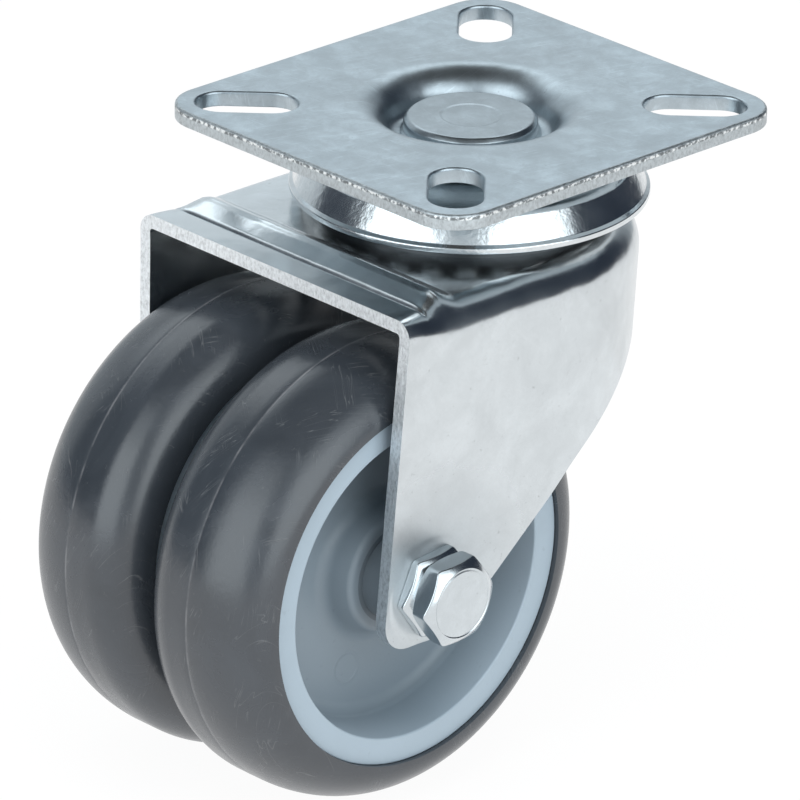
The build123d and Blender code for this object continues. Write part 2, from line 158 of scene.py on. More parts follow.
def add_camera():
    """Long-lens camera that looks down on the near side from the front."""
    roll = math.radians(1.08)
    distance, side_shift, up_shift = 1.342, -0.01024, -0.00462
    target = Vector((0, 0, -0.045))
    back = direction(-44.03, 23.55)
    level = (-back).cross(Vector((0, 0, 1))).normalized()
    upright = level.cross(-back)
    right = level * math.cos(roll) + upright * math.sin(roll)
    up = upright * math.cos(roll) - level * math.sin(roll)
    place = target + back * distance + right * side_shift + up * up_shift
    camera = bpy.data.objects.new("camera", bpy.data.cameras.new("camera"))
    bpy.context.scene.collection.objects.link(camera)
    camera.matrix_world = Matrix((
        (right.x, up.x, back.x, place.x),
        (right.y, up.y, back.y, place.y),
        (right.z, up.z, back.z, place.z),
        (0, 0, 0, 1),
    ))
    camera.data.sensor_width = 36.0
    camera.data.lens = 385.3
    camera.data.clip_end = 20.0
    bpy.context.scene.camera = camera


# ---- profiles and loops -------------------------------------------------------------
def rounded(corners, step=12.0):
    """Path through (a, b, radius) corners, each rounded by its radius in steps of that many degrees."""
    path = []
    last = len(corners) - 1
    for index, (a, b, radius) in enumerate(corners):
        here = Vector((a, b))
        if radius == 0 or index in (0, last):
            path.append((a, b))
            continue
        before = (Vector(corners[index - 1][:2]) - here).normalized()
        after = (Vector(corners[index + 1][:2]) - here).normalized()
        half = before.angle(after) / 2
        centre = here + (before + after).normalized() * (radius / math.sin(half))
        first = here + before * (radius / math.tan(half)) - centre
        final = here + after * (radius / math.tan(half)) - centre
        turn = math.atan2(first.x * final.y - first.y * final.x, first.dot(final))
        steps = max(2, math.ceil(abs(math.degrees(turn)) / step))
        for index_on_arc in range(steps + 1):
            angle = turn * index_on_arc / steps
            x = first.x * math.cos(angle) - first.y * math.sin(angle)
            y = first.x * math.sin(angle) + first.y * math.cos(angle)
            path.append((centre.x + x, centre.y + y))
    return path


def lathe(path, segments=192, closed=False):
    """Vertices and faces of a path of (radius, height) turned about +Z."""
    vertices, rows, faces = [], [], []
    for radius, height in path:
        count = 1 if radius < 1e-6 else segments
        rows.append([len(vertices) + index for index in range(count)])
        for index in range(count):
            angle = 2 * math.pi * index / segments
            vertices.append((radius * math.cos(angle), radius * math.sin(angle), height))
    pairs = list(zip(rows, rows[1:]))
    if closed:
        pairs.append((rows[-1], rows[0]))
    for low, high in pairs:
        for index in range(segments):
            after = (index + 1) % segments
            ring = [low[index % len(low)], low[after % len(low)]]
            ring += [high[after % len(high)], high[index % len(high)]]
            face = list(dict.fromkeys(ring))
            if len(face) > 2:
                faces.append(face)
    return vertices, faces


def to_axle(vertices, side):
    """Moves vertices made about +Z on to the wheel axle: height becomes depth outwards from the middle."""
    return [(AXLE.x + x, side * z, AXLE.z + y) for x, y, z in vertices]


def join(first, second):
    """One set of vertices and faces out of two."""
    count = len(first[0])
    return first[0] + second[0], first[1] + [tuple(index + count for index in face) for face in second[1]]


# ---- pieces -------------------------------------------------------------------------
def make_piece(node, body, slot, vertices, faces, materials, face_materials=None, sharp=40.0):
    """A finished mesh that stands for a CAD node. Vertices come in millimetres."""
    mesh = bpy.data.meshes.new(node + "_look")
    mesh.from_pydata([Vector(vertex) * MM for vertex in vertices], [], faces)
    for material in materials:
        mesh.materials.append(material)
    if face_materials:
        mesh.polygons.foreach_set("material_index", face_materials)
    work = bmesh.new()
    work.from_mesh(mesh)
    bmesh.ops.remove_doubles(work, verts=work.verts, dist=1e-7)
    bmesh.ops.recalc_face_normals(work, faces=work.faces)
    for face in work.faces:
        face.smooth = True
    for edge in work.edges:
        edge.smooth = edge.calc_face_angle(0.0) < math.radians(sharp)
    work.to_mesh(mesh)
    work.free()
    piece = bpy.data.objects.new(node + "_look", mesh)
    bpy.context.scene.collection.objects.link(piece)
    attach(piece, body)
    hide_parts(node)
    return piece


def weigh_normals(piece):
    """Keeps large flat faces flat beside small rounded edges."""
    modifier = piece.modifiers.new("weighted_normals", "WEIGHTED_NORMAL")
    modifier.keep_sharp = True
    return piece


# ---- wheels -------------------------------------------------------------------------
def tyre_path():
    """Closed section of the tyre as (radius, depth): elliptical side, fine parting line, inner shoulder."""
    height = WHEEL_RADIUS - RIM_RADIUS
    depth = TYRE_OUTER - TYRE_CROWN
    steps = 36
    side = [
        (
            RIM_RADIUS + height * math.sin(math.radians(90 * k / steps)),
            TYRE_CROWN + depth * math.cos(math.radians(90 * k / steps)),
        )
        for k in range(steps + 1)
    ]
    line_half, line_depth = 0.16, 0.04
    parting = [
        (WHEEL_RADIUS - line_depth, PARTING_DEPTH),
        (WHEEL_RADIUS, PARTING_DEPTH - line_half),
    ]
    inner = rounded([
        (WHEEL_RADIUS, TYRE_CROWN - 2, 0),
        (WHEEL_RADIUS, TYRE_INNER, TYRE_SHOULDER),
        (RIM_RADIUS, TYRE_INNER, 0),
    ], step=5.0)
    return side + parting + inner


def hub_path():
    """Section of the hub as (radius, depth), from the bore's outer end to its inner end."""
    boss_foot = BOSS_RADIUS + 1.6
    bowl_foot = BOWL_RADIUS - 0.8
    rim_inner = HUB_INNER + HUB_RIM_SETBACK
    return rounded([
        (BORE, BOSS_FACE, 0),
        (BOSS_RADIUS, BOSS_FACE, 1.2),
        (boss_foot, WEB_OUTER, 2.6),
        (bowl_foot, WEB_OUTER, 2.2),
        (BOWL_RADIUS, RIM_OUTER, 0.35),
        (RIM_RADIUS, RIM_OUTER, 0.25),
        (RIM_RADIUS, rim_inner, 0.3),
        (BOWL_RADIUS, rim_inner, 0.3),
        (bowl_foot, WEB_INNER, 2.2),
        (boss_foot, WEB_INNER, 2.6),
        (BOSS_RADIUS, HUB_INNER, 0.4),
        (BORE, HUB_INNER, 0),
    ], step=9.0)


def add_wheels(looks):
    """Tyre and hub of each wheel. The far wheel mirrors the near one."""
    for name, side in (("near", -1), ("far", 1)):
        body = name + "_wheel"
        vertices, faces = lathe(tyre_path(), 288, closed=True)
        rubber = [looks["tyre_rubber"]]
        make_piece(name + "_tyre", body, "tyre_rubber", to_axle(vertices, side), faces, rubber)
        vertices, faces = lathe(hub_path(), 288, closed=True)
        nylon = [looks["hub_plastic"]]
        weigh_normals(make_piece(name + "_hub", body, "hub_plastic", to_axle(vertices, side), faces, nylon))


# ---- axle bolt and nuts -------------------------------------------------------------
def hexagon(start, end, turn, bore, chamfers):
    """Hexagonal block on the axle between two Y positions, with rounded corners. chamfers says which of its
    ends are turned to a chamfer. A fine groove rings the flat of each end."""
    segments = 180
    apothem = HEX_ACROSS / 2
    corner_power = 36           # the higher, the sharper the corners
    flat_radius = apothem * 0.87
    edge = 0.14
    groove = 0.12
    sense = 1 if end > start else -1
    length = abs(end - start)

    def outline(angle):
        total = 0.0
        for k in range(3):
            total += abs(math.cos(angle - math.radians(turn + 30 + 60 * k))) ** corner_power
        return apothem / total ** (1 / corner_power)

    def end_rows(radius_out, chamfered):
        """(radius, depth from the end) from the middle outwards."""
        slope = math.tan(math.radians(30))
        depth = (radius_out - flat_radius) * slope if chamfered else 0.0
        turned_to = flat_radius if chamfered else radius_out - edge
        rows = [(bore, 0.0), (turned_to - 0.65, 0.0), (turned_to - 0.5, 0.0)]
        rows += [(turned_to - 0.32, groove), (turned_to - 0.16, groove), (turned_to, 0.0)]
        if chamfered:
            rows += [(radius_out - edge, depth - edge * slope)]
        rows += [(radius_out - edge * 0.35, depth + edge * 0.3), (radius_out, depth + edge * 1.1)]
        return rows

    columns = []
    for index in range(segments):
        angle = 2 * math.pi * index / segments
        radius_out = outline(angle)
        front = end_rows(radius_out, chamfers[0])
        back = end_rows(radius_out, chamfers[1])
        path = front + [(radius, length - depth) for radius, depth in reversed(back)]
        columns.append([
            (AXLE.x + radius * math.cos(angle), start + sense * depth, AXLE.z + radius * math.sin(angle))
            for radius, depth in path
        ])
    rows = len(columns[0])
    vertices = [point for column in columns for point in column]
    faces = []
    for index in range(segments):
        after = (index + 1) % segments
        for row in range(rows - 1):
            low, high = index * rows + row, after * rows + row
            faces.append((low, high, high + 1, low + 1))
        if bore > 0:
            faces.append((index * rows, index * rows + rows - 1, after * rows + rows - 1, after * rows))
    return vertices, faces


def thread_path(start, end):
    """Shank of the bolt between two depths: thread ridges, then the chamfered end."""
    pitch, depth, chamfer = 1.25, 0.55, 0.8
    root = BOLT_RADIUS - depth
    path = []
    place = start
    while place + pitch < end - chamfer:
        path += [(BOLT_RADIUS, place + 0.15), (BOLT_RADIUS, place + 0.3)]
        path += [(root, place + 0.75), (root, place + 0.85)]
        place += pitch
    path += [(BOLT_RADIUS, place + 0.2), (BOLT_RADIUS, end - chamfer)]
    return path + [(BOLT_RADIUS - chamfer, end), (0, end)]


def add_fastener(node, mesh, looks, sharp=50.0):
    """One piece of the zinc-plated bolt set."""
    zinc_look = [looks["zinc_fastener"]]
    weigh_normals(make_piece(node, "fork_group", "zinc_fastener", *mesh, zinc_look, sharp=sharp))


def add_bolt(looks):
    """Bolt and thin nut on the near side; washer and lock nut with a turned collar on the far side."""
    head_back = THIN_NUT_LOW.y
    nut_end = LOCK_NUT_HIGH.y
    threads = thread_path(nut_end - 0.6, BOLT_HIGH.y)
    shank, shank_faces = lathe([(0, head_back), (BOLT_RADIUS, head_back)] + threads, 64)
    head = hexagon(BOLT_LOW.y, head_back, HEX_TURN, 0.0, (True, True))
    add_fastener("axle_bolt", join(head, (to_axle(shank, 1), shank_faces)), looks)

    thin_nut = hexagon(THIN_NUT_LOW.y, THIN_NUT_HIGH.y, HEX_TURN, BOLT_RADIUS, (True, False))
    add_fastener("hex_spacer", thin_nut, looks)

    collar_start = nut_end - 1.6
    collar_inner, collar_outer = 5.0, 6.0
    collar, collar_faces = lathe(rounded([
        (collar_inner, collar_start, 0),
        (collar_outer, collar_start, 0),
        (collar_outer, nut_end, 0.6),
        (collar_inner, nut_end, 0.3),
        (collar_inner, collar_start, 0),
    ]), 96)
    lock_nut = hexagon(LOCK_NUT_LOW.y, collar_start, 0.0, BOLT_RADIUS, (True, False))
    add_fastener("lock_nut", join(lock_nut, (to_axle(collar, 1), collar_faces)), looks)

    washer_radius = 8.0
    washer, washer_faces = lathe(rounded([
        (BOLT_RADIUS, LOCK_NUT_LOW.y, 0),
        (washer_radius, LOCK_NUT_LOW.y, 0.3),
        (washer_radius, PAD_FACE, 0.3),
        (BOLT_RADIUS, PAD_FACE, 0),
    ]), 128, closed=True)
    add_fastener("nut_washer", (to_axle(washer, 1), washer_faces), looks, sharp=40.0)


# ---- swivel head --------------------------------------------------------------------
def turned_piece(node, slot, path, looks, segments=224, closed=False):
    """A piece of the swivel head that is turned about the swivel axis."""
    vertices, faces = lathe(path, segments, closed)
    weigh_normals(make_piece(node, "swivel_head", slot, vertices, faces, [looks[slot]]))


def add_cap(looks):
    """Inverted cup with a soft top edge and a rolled lip."""
    lip_radius = CAP_HIGH.x
    outer = lip_radius - 0.5
    sheet = 1.3
    draft = 2.2
    bottom = CAP_LOW.z
    path = rounded([
        (SHANK_RADIUS, CAP_HIGH.z, 0),
        (outer - draft, CAP_HIGH.z, 1.5),
        (outer - 0.1, bottom + 1.4, 0.35),
        (lip_radius, bottom + 1.0, 0.3),
        (lip_radius, bottom, 0.3),
        (outer - sheet, bottom, 0.3),
        (outer - sheet - draft, CAP_HIGH.z - sheet, 0.6),
        (SHANK_RADIUS, CAP_HIGH.z - sheet, 0),
    ], step=9.0)
    turned_piece("swivel_cap", "zinc_bright", path, looks, 288, closed=True)


def add_king_pin(looks):
    """Flanged rivet with a chamfered head and a faint turned ring in its face."""
    flange = PIN_HIGH.x
    head = flange - 0.5
    tail = 8.5
    top = PIN_HIGH.z
    tail_top = RACE_LOW.z
    path = rounded([
        (0, top - 0.1, 0),
        (4.5, top - 0.1, 0.1),
        (4.9, top, 0.1),
        (head - 0.7, top, 0.7),
        (head - 0.05, top - 0.7, 0.5),
        (head, -DISH_DEPTH + 1.2, 0.2),
        (flange, -DISH_DEPTH + 0.85, 0.2),
        (flange, -DISH_DEPTH, 0),
        (SHANK_RADIUS, -DISH_DEPTH, 0),
        (SHANK_RADIUS, tail_top, 0),
        (tail, tail_top, 0),
        (tail, tail_top - 1.0, 0.5),
        (SHANK_RADIUS + 0.1, PIN_LOW.z, 0.6),
        (0, PIN_LOW.z, 0),
    ], step=10.0)
    turned_piece("king_pin", "zinc_rivet", path, looks)


def add_lower_race(looks):
    """Pressed cup under the neck."""
    rim = RACE_HIGH.x
    path = rounded([
        (SHANK_RADIUS, RACE_LOW.z, 0),
        (rim, RACE_LOW.z, 1.4),
        (rim, RACE_HIGH.z, 0.4),
        (rim - RACE_SHEET, RACE_HIGH.z, 0.3),
        (rim - RACE_SHEET, RACE_LOW.z + RACE_SHEET, 0.5),
        (SHANK_RADIUS, RACE_LOW.z + RACE_SHEET, 0),
    ], step=10.0)
    turned_piece("lower_race", "steel_inner", path, looks, closed=True)


# ---- top plate ----------------------------------------------------------------------
def plate_outline(grow, per_corner=12):
    """Rounded rectangle of the plate, grown or shrunk, as points in order."""
    half_x, half_y = PLATE_HIGH.x + grow, PLATE_HIGH.y + grow
    radius = PLATE_CORNER + grow
    points = []
    for corner, (sign_x, sign_y) in enumerate(((1, 1), (-1, 1), (-1, -1), (1, -1))):
        for index in range(per_corner + 1):
            angle = math.radians(90 * corner + 90 * index / per_corner)
            x = sign_x * (half_x - radius) + radius * math.cos(angle)
            y = sign_y * (half_y - radius) + radius * math.sin(angle)
            points.append((x, y))
    return points


def slot_outline(sign_x, sign_y, grow, per_end=16):
    """One diagonal slot of the plate, grown or shrunk."""
    turn = math.atan2(sign_y, sign_x)
    radius = SLOT_WIDTH / 2 + grow
    reach = (SLOT_LENGTH - SLOT_WIDTH) / 2
    points = []
    for end in (0, 1):
        for index in range(per_end + 1):
            angle = turn + math.radians(-90 + 180 * end + 180 * index / per_end)
            along = reach if end == 0 else -reach
            x = sign_x * SLOT_CENTRE[0] + along * math.cos(turn) + radius * math.cos(angle)
            y = sign_y * SLOT_CENTRE[1] + along * math.sin(turn) + radius * math.sin(angle)
            points.append((x, y))
    return points


def edge_rings():
    """(shrink, height) down a sheared edge: rolled-over upper rim, wall, and lower rim."""
    roll, burr = EDGE_ROLL, EDGE_BURR
    return [
        (roll, 0.0),
        (roll * 0.62, -roll * 0.08),
        (roll * 0.3, -roll * 0.3),
        (roll * 0.08, -roll * 0.66),
        (0.0, -roll * 1.15),
        (0.0, -PLATE_SHEET + burr * 1.4),
        (burr * 0.3, -PLATE_SHEET + burr * 0.35),
        (burr, -PLATE_SHEET),
    ]


def add_ring(work, points, height, last=None, material=0):
    """A closed loop of points, with a band of faces from the last loop. Returns the loop and its edges."""
    loop = [work.verts.new((x, y, height)) for x, y in points]
    edges = [work.edges.new((a, b)) for a, b in zip(loop, loop[1:] + loop[:1])]
    if last is not None:
        for index in range(len(loop)):
            after = (index + 1) % len(loop)
            face = work.faces.new((last[index], last[after], loop[after], loop[index]))
            face.material_index = material
    return loop, edges


def add_wall(work, outline, material):
    """Walls down one outline of the plate. Returns their top and bottom edges."""
    rims = []
    last = None
    for shrink, height in edge_rings():
        last, edges = add_ring(work, outline(shrink), height, last, material)
        rims.append(edges)
    return rims[0], rims[-1]


def add_dish(work, path):
    """One turned face of the dish along a path of (radius, height). Returns its first and last edges."""
    segments = 160
    circle = [2 * math.pi * k / segments for k in range(segments)]
    rims = []
    last = None
    for radius, height in path:
        points = [(radius * math.cos(angle), radius * math.sin(angle)) for angle in circle]
        last, edges = add_ring(work, points, height, last)
        rims.append(edges)
    return rims[0], rims[-1]


def add_plate(looks):
    """Pressed plate: rounded corners, slots with rolled rims and a dish for the rivet head."""
    work = bmesh.new()
    edge_material, slot_material = 1, 2
    top_edges, under_edges = add_wall(work, lambda shrink: plate_outline(-shrink), edge_material)
    for sign_x in (-1, 1):
        for sign_y in (-1, 1):
            top, under = add_wall(work, lambda shrink: slot_outline(sign_x, sign_y, shrink), slot_material)
            top_edges += top
            under_edges += under
    floor_radius, mouth_radius = 12.5, 14.9
    drawn = 1.6                 # how far the dish's underside stands outside its upper face
    floor_bend, mouth_bend = 1.6, 5.6
    hole_top, rim_top = add_dish(work, rounded([
        (SHANK_RADIUS, -DISH_DEPTH, 0),
        (floor_radius, -DISH_DEPTH, floor_bend),
        (mouth_radius, 0, mouth_bend),
        (DISH_BLANK, 0, 0),
    ], step=5.0))
    rim_under, hole_under = add_dish(work, rounded([
        (DISH_BLANK, -PLATE_SHEET, 0),
        (mouth_radius + drawn, -PLATE_SHEET, mouth_bend - 0.4),
        (floor_radius + drawn, -DISH_DEPTH - PLATE_SHEET, floor_bend + 0.4),
        (SHANK_RADIUS, -DISH_DEPTH - PLATE_SHEET, 0),
    ], step=5.0))
    for edges, up in ((top_edges + rim_top, 1), (under_edges + rim_under, -1)):
        bmesh.ops.triangle_fill(work, use_beauty=True, use_dissolve=False, edges=edges, normal=(0, 0, up))
    bmesh.ops.bridge_loops(work, edges=hole_top + hole_under)
    work.normal_update()
    vertices = [vertex.co[:] for vertex in work.verts]
    work.verts.index_update()
    faces = [[vertex.index for vertex in face.verts] for face in work.faces]
    face_materials = [face.material_index for face in work.faces]
    work.free()
    materials = [looks["zinc_plate"], looks["plate_edge"], looks["zinc_plate"]]
    plate = make_piece("top_plate", "swivel_head", "zinc_plate", vertices, faces, materials, face_materials)
    weigh_normals(plate)


# ---- fork ---------------------------------------------------------------------------
def smooth(value):
    """Eases a value from 0 to 1."""
    value = min(1.0, max(0.0, value))
    return value * value * (3 - 2 * value)


def plan_point(station, inset):
    """Point of the fork's plan outline. The station is X on the straight side, up to HOOD_START. Past it,
    each degree of the hood's turn counts as HOOD_STATION."""
    half = CROWN_HALF - inset
    if station <= HOOD_START:
        return station, half
    angle = math.radians((station - HOOD_START) / HOOD_STATION)
    return HOOD_START + (HOOD_LENGTH - inset) * math.sin(angle), half * math.cos(angle)


def bend_radius(station):
    """Outer bend radius: tight at the open front, larger round the hood."""
    front = smooth((station - CROWN_FRONT) / 9.0)
    hood = smooth((station - HOOD_START + 12) / (LAST_STATION - HOOD_START))
    return FRONT_BEND + 1.9 * front + 2.2 * hood


def bend_start(station):
    """Inset at which the bend leaves the crown: its radius, or less where the neck stands in the way."""
    low, high = 0.0, bend_radius(station)
    if math.hypot(*plan_point(station, high)) >= CROWN_HOLE:
        return high
    for _ in range(30):
        middle = (low + high) / 2
        if math.hypot(*plan_point(station, middle)) >= CROWN_HOLE:
            low = middle
        else:
            high = middle
    return low


def cut_outline():
    """Lower outline of half the fork as (station, z), from the foot's front to the hood's middle."""
    longest = 0.8
    foot_z = FORK_LOW.z
    knee_z = foot_z + (KNEE_X - FOOT_REAR) * CUT_SLOPE
    rear_x = HOOD_START + HOOD_LENGTH
    rear_z = knee_z + (rear_x - KNEE_X) * HOOD_SLOPE
    corners = rounded([
        (CROWN_FRONT, CROWN_Z - 4, 0),
        (FOOT_FRONT, foot_z, 5.0),
        (FOOT_REAR, foot_z, 5.5),
        (KNEE_X, knee_z, 30.0),
        (rear_x, rear_z, 0),
    ], step=4.0)
    path = []
    for (x0, z0), (x1, z1) in zip(corners, corners[1:]):
        pieces = max(1, math.ceil(math.hypot(x1 - x0, z1 - z0) / longest))
        path += [(x0 + (x1 - x0) * k / pieces, z0 + (z1 - z0) * k / pieces) for k in range(pieces)]
    path.append(corners[-1])
    outline = []
    for x, z in path:
        if x > HOOD_START:
            share = min(1.0, (x - HOOD_START) / HOOD_LENGTH)
            x = HOOD_START + math.degrees(math.asin(share)) * HOOD_STATION
        outline.append((x, z))
    return outline


def sample(path, share):
    """Point at a share of a path's length."""
    lengths = [math.dist(a, b) for a, b in zip(path, path[1:])]
    left = share * sum(lengths)
    for (a, b), length in zip(zip(path, path[1:]), lengths):
        if left <= length:
            part = left / length if length else 0.0
            return a[0] + (b[0] - a[0]) * part, a[1] + (b[1] - a[1]) * part
        left -= length
    return path[-1]


def rib_height(x, run):
    """Height of the stiffening rib, with the pressed crease before it: x along the fork, run along the
    sheet from its middle."""
    rib_half, rib_fade = 29.4, 5.5
    crease_depth, crease_width, crease_half = 0.28, 0.3, 29.0
    front = min(1.0, max(0.0, (x - CREASE_X) / (RIB_CREST_X - CREASE_X)))
    crest = front - 0.12 * smooth((front - 0.7) / 0.3)
    back = smooth((RIB_END_X - x) / (RIB_END_X - RIB_CREST_X))
    end = smooth((rib_half - abs(run)) / rib_fade)
    crease = crease_depth * math.exp(-((x - CREASE_X) / crease_width) ** 2)
    return RIB_HEIGHT * crest * back * end - crease * smooth((crease_half - abs(run)) / 2.0)


def pad_shift(x, z, y_surface):
    """How far the pressed pad moves the leg's outer surface outwards at a point."""
    step = 0.7
    radius = math.hypot(x - AXLE.x, z - AXLE.z)
    return (PAD_FACE - y_surface) * (1 - smooth((radius - PAD_RADIUS + step / 2) / step))


class Sheet:
    """The outer side of the fork as it grows: shared vertices, and faces of their indices."""

    def __init__(self):
        self.vertices, self.faces, self.lookup = [], [], {}

    def vertex(self, x, y, z):
        key = (round(x, 4), round(y, 4), round(z, 4))
        if key not in self.lookup:
            self.lookup[key] = len(self.vertices)
            self.vertices.append((x, y, z))
        return self.lookup[key]

    def grid(self, rows):
        for low, high in zip(rows, rows[1:]):
            for index in range(len(low) - 1):
                face = list(dict.fromkeys((low[index], low[index + 1], high[index + 1], high[index])))
                if len(face) > 2:
                    self.faces.append(face)


def add_side(sheet, side, stations, cut_points):
    """Bend, leg and half of the hood on one side. Returns the row where the bend leaves the crown."""
    bend_steps, leg_steps = 10, 96
    rows = [[] for _ in range(bend_steps + leg_steps + 1)]
    for station, (cut_station, cut_z) in zip(stations, cut_points):
        radius = bend_radius(station)
        start_angle = math.acos(1 - bend_start(station) / radius)
        for step in range(bend_steps + 1):
            angle = start_angle * (1 - step / bend_steps)
            z = CROWN_Z - radius * (1 - math.sin(angle))
            inset = radius * (1 - math.cos(angle)) + LEG_LEAN * (CROWN_Z - z)
            x, y = plan_point(station, inset)
            run = CROWN_HALF - radius + radius * (math.pi / 2 - angle)
            lift = rib_height(x, run)
            y += lift * math.cos(angle)
            z += lift * math.sin(angle)
            rows[step].append(sheet.vertex(x, side * y, z))
        for step in range(1, leg_steps + 1):
            share = step / leg_steps
            z = CROWN_Z - radius + (cut_z - CROWN_Z + radius) * share
            place = station + (cut_station - station) * share
            x, y = plan_point(place, LEG_LEAN * (CROWN_Z - z))
            if place < HOOD_START:
                y += pad_shift(x, z, y)
            rows[bend_steps + step].append(sheet.vertex(x, side * y, z))
    sheet.grid(rows)
    return rows[0]


def add_crown_front(sheet, stations):
    """The front of the crown, with the rib, as a grid between the two bends. Returns its last row."""
    across = 80
    rows = []
    for station in stations:
        edge = CROWN_HALF - bend_radius(station)
        row = []
        for k in range(across + 1):
            y = -edge + 2 * edge * k / across
            row.append(sheet.vertex(station, y, CROWN_Z + rib_height(station, y)))
        rows.append(row)
    sheet.grid(rows)
    return rows[-1]


def add_neck(sheet):
    """The neck, a sheet of its own whose wall ends inside the crown's thickness. Returns its vertices."""
    top = FORK_HIGH.z
    groove = 1.6                # half width of the groove over the upper balls
    vertices, faces = lathe(rounded([
        (8.2, top, 0),
        (BALL_PITCH - groove, top, 0.3),
        (BALL_PITCH, top - 0.6, 2.2),
        (BALL_PITCH + groove, top, 0.3),
        (NECK_RADIUS, top, 1.2),
        (NECK_RADIUS, CROWN_Z - FORK_SHEET + 0.1, 0),
    ], step=12.0), 192)
    first = len(sheet.vertices)
    sheet.vertices += vertices
    sheet.faces += [[first + index for index in face] for face in faces]
    return range(first, first + len(vertices))


def add_hole_arc(sheet, near_end, far_end):
    """The border of the crown's hole round the front of the neck, from one bend to the other."""
    tip = Vector(sheet.vertices[far_end])
    half_turn = math.atan2(tip.y, tip.x)
    steps = 96
    arc = [far_end]
    for step in range(1, steps):
        angle = half_turn + (2 * math.pi - 2 * half_turn) * step / steps
        arc.append(sheet.vertex(CROWN_HOLE * math.cos(angle), CROWN_HOLE * math.sin(angle), CROWN_Z))
    return arc + [near_end]


def fill_crown(sheet, borders):
    """Mesh of the sheet with the crown filled in between its borders, as points and faces."""
    work = bmesh.new()
    made = [work.verts.new(point) for point in sheet.vertices]
    for face in sheet.faces:
        work.faces.new([made[index] for index in face])
    work.verts.ensure_lookup_table()
    edges = []
    for border in borders:
        for a, b in zip(border, border[1:]):
            edge = work.edges.get((made[a], made[b]))
            edges.append(edge or work.edges.new((made[a], made[b])))
    bmesh.ops.triangle_fill(work, use_beauty=True, use_dissolve=False, edges=edges, normal=(0, 0, 1))
    work.verts.index_update()
    faces = [[vertex.index for vertex in face.verts] for face in work.faces]
    points = [vertex.co[:] for vertex in work.verts]
    work.free()
    return points, faces


def face_upwards(mesh):
    """Turns each separate sheet of the fork so that its outer side is the front of its faces."""
    work = bmesh.new()
    work.from_mesh(mesh)
    left = set(work.faces)
    while left:
        sheet = []
        queue = [left.pop()]
        while queue:
            face = queue.pop()
            sheet.append(face)
            for edge in face.edges:
                for other in edge.link_faces:
                    if other in left:
                        left.remove(other)
                        queue.append(other)
        highest = max(sheet, key=lambda face: face.calc_center_median().z)
        if highest.normal.z < 0:
            bmesh.ops.reverse_faces(work, faces=sheet)
    work.to_mesh(mesh)
    work.free()


def cut_edges_sharp(piece):
    """Applies a sheet's thickness and marks the edges of its cut rim as sharp."""
    bpy.context.view_layer.update()
    solid = bpy.data.meshes.new_from_object(piece.evaluated_get(bpy.context.evaluated_depsgraph_get()))
    piece.modifiers.clear()
    work = bmesh.new()
    work.from_mesh(solid)
    for edge in work.edges:
        if edge.calc_face_angle(0.0) > math.radians(60):
            edge.smooth = False
    work.to_mesh(piece.data)
    work.free()
    bpy.data.meshes.remove(solid)


def add_fork(looks):
    """Pressed fork as a sheet that is given its thickness: crown, rib, neck, bend, legs and rear hood."""
    rib_steps, rest_steps = 64, 90
    rib_part = [CROWN_FRONT + (RIB_END_X - CROWN_FRONT) * k / rib_steps for k in range(rib_steps + 1)]
    rest_start = rib_part[-1]
    rest_part = [
        rest_start + (LAST_STATION - rest_start) * k / rest_steps for k in range(1, rest_steps + 1)
    ]
    stations = rib_part + rest_part
    total = len(stations) - 1
    outline = cut_outline()
    cut_points = [sample(outline, (index / total) ** 0.9) for index in range(total + 1)]

    sheet = Sheet()
    skirt_tops = {side: add_side(sheet, side, stations, cut_points) for side in (-1, 1)}
    front_row = add_crown_front(sheet, rib_part)
    neck_part = add_neck(sheet)
    reached = next(
        index for index in range(rib_steps, total + 1)
        if bend_start(stations[index]) < bend_radius(stations[index])
    )
    borders = [front_row, add_hole_arc(sheet, skirt_tops[-1][reached], skirt_tops[1][reached])]
    borders += [skirt_tops[side][rib_steps:reached + 1] for side in (-1, 1)]
    points, faces = fill_crown(sheet, borders)

    # The neck's faces take the near-black painted shade that stands for the shade under the cap's lip.
    face_materials = [2 if face[0] in neck_part else 0 for face in faces]
    materials = [looks["zinc_fork"], looks["fork_edge"], looks["neck_painted_shade"]]
    piece = make_piece("fork", "fork_group", "zinc_fork", points, faces, materials, face_materials)
    face_upwards(piece.data)
    thicken = piece.modifiers.new("sheet", "SOLIDIFY")
    thicken.thickness = FORK_SHEET * MM
    thicken.offset = -1.0
    thicken.use_even_offset = True
    thicken.material_offset_rim = 1
    cut_edges_sharp(piece)
    weigh_normals(piece)


# ---- materials ----------------------------------------------------------------------
class Nodes:
    """A node tree and a short call that adds a node to it."""

    def __init__(self, tree):
        self.tree = tree

    def add(self, kind, inputs=None, **settings):
        node = self.tree.nodes.new(kind)
        for key, value in settings.items():
            setattr(node, key, value)
        for socket, value in (inputs or {}).items():
            if isinstance(value, bpy.types.NodeSocket):
                self.tree.links.new(value, node.inputs[socket])
            else:
                node.inputs[socket].default_value = value
        return node


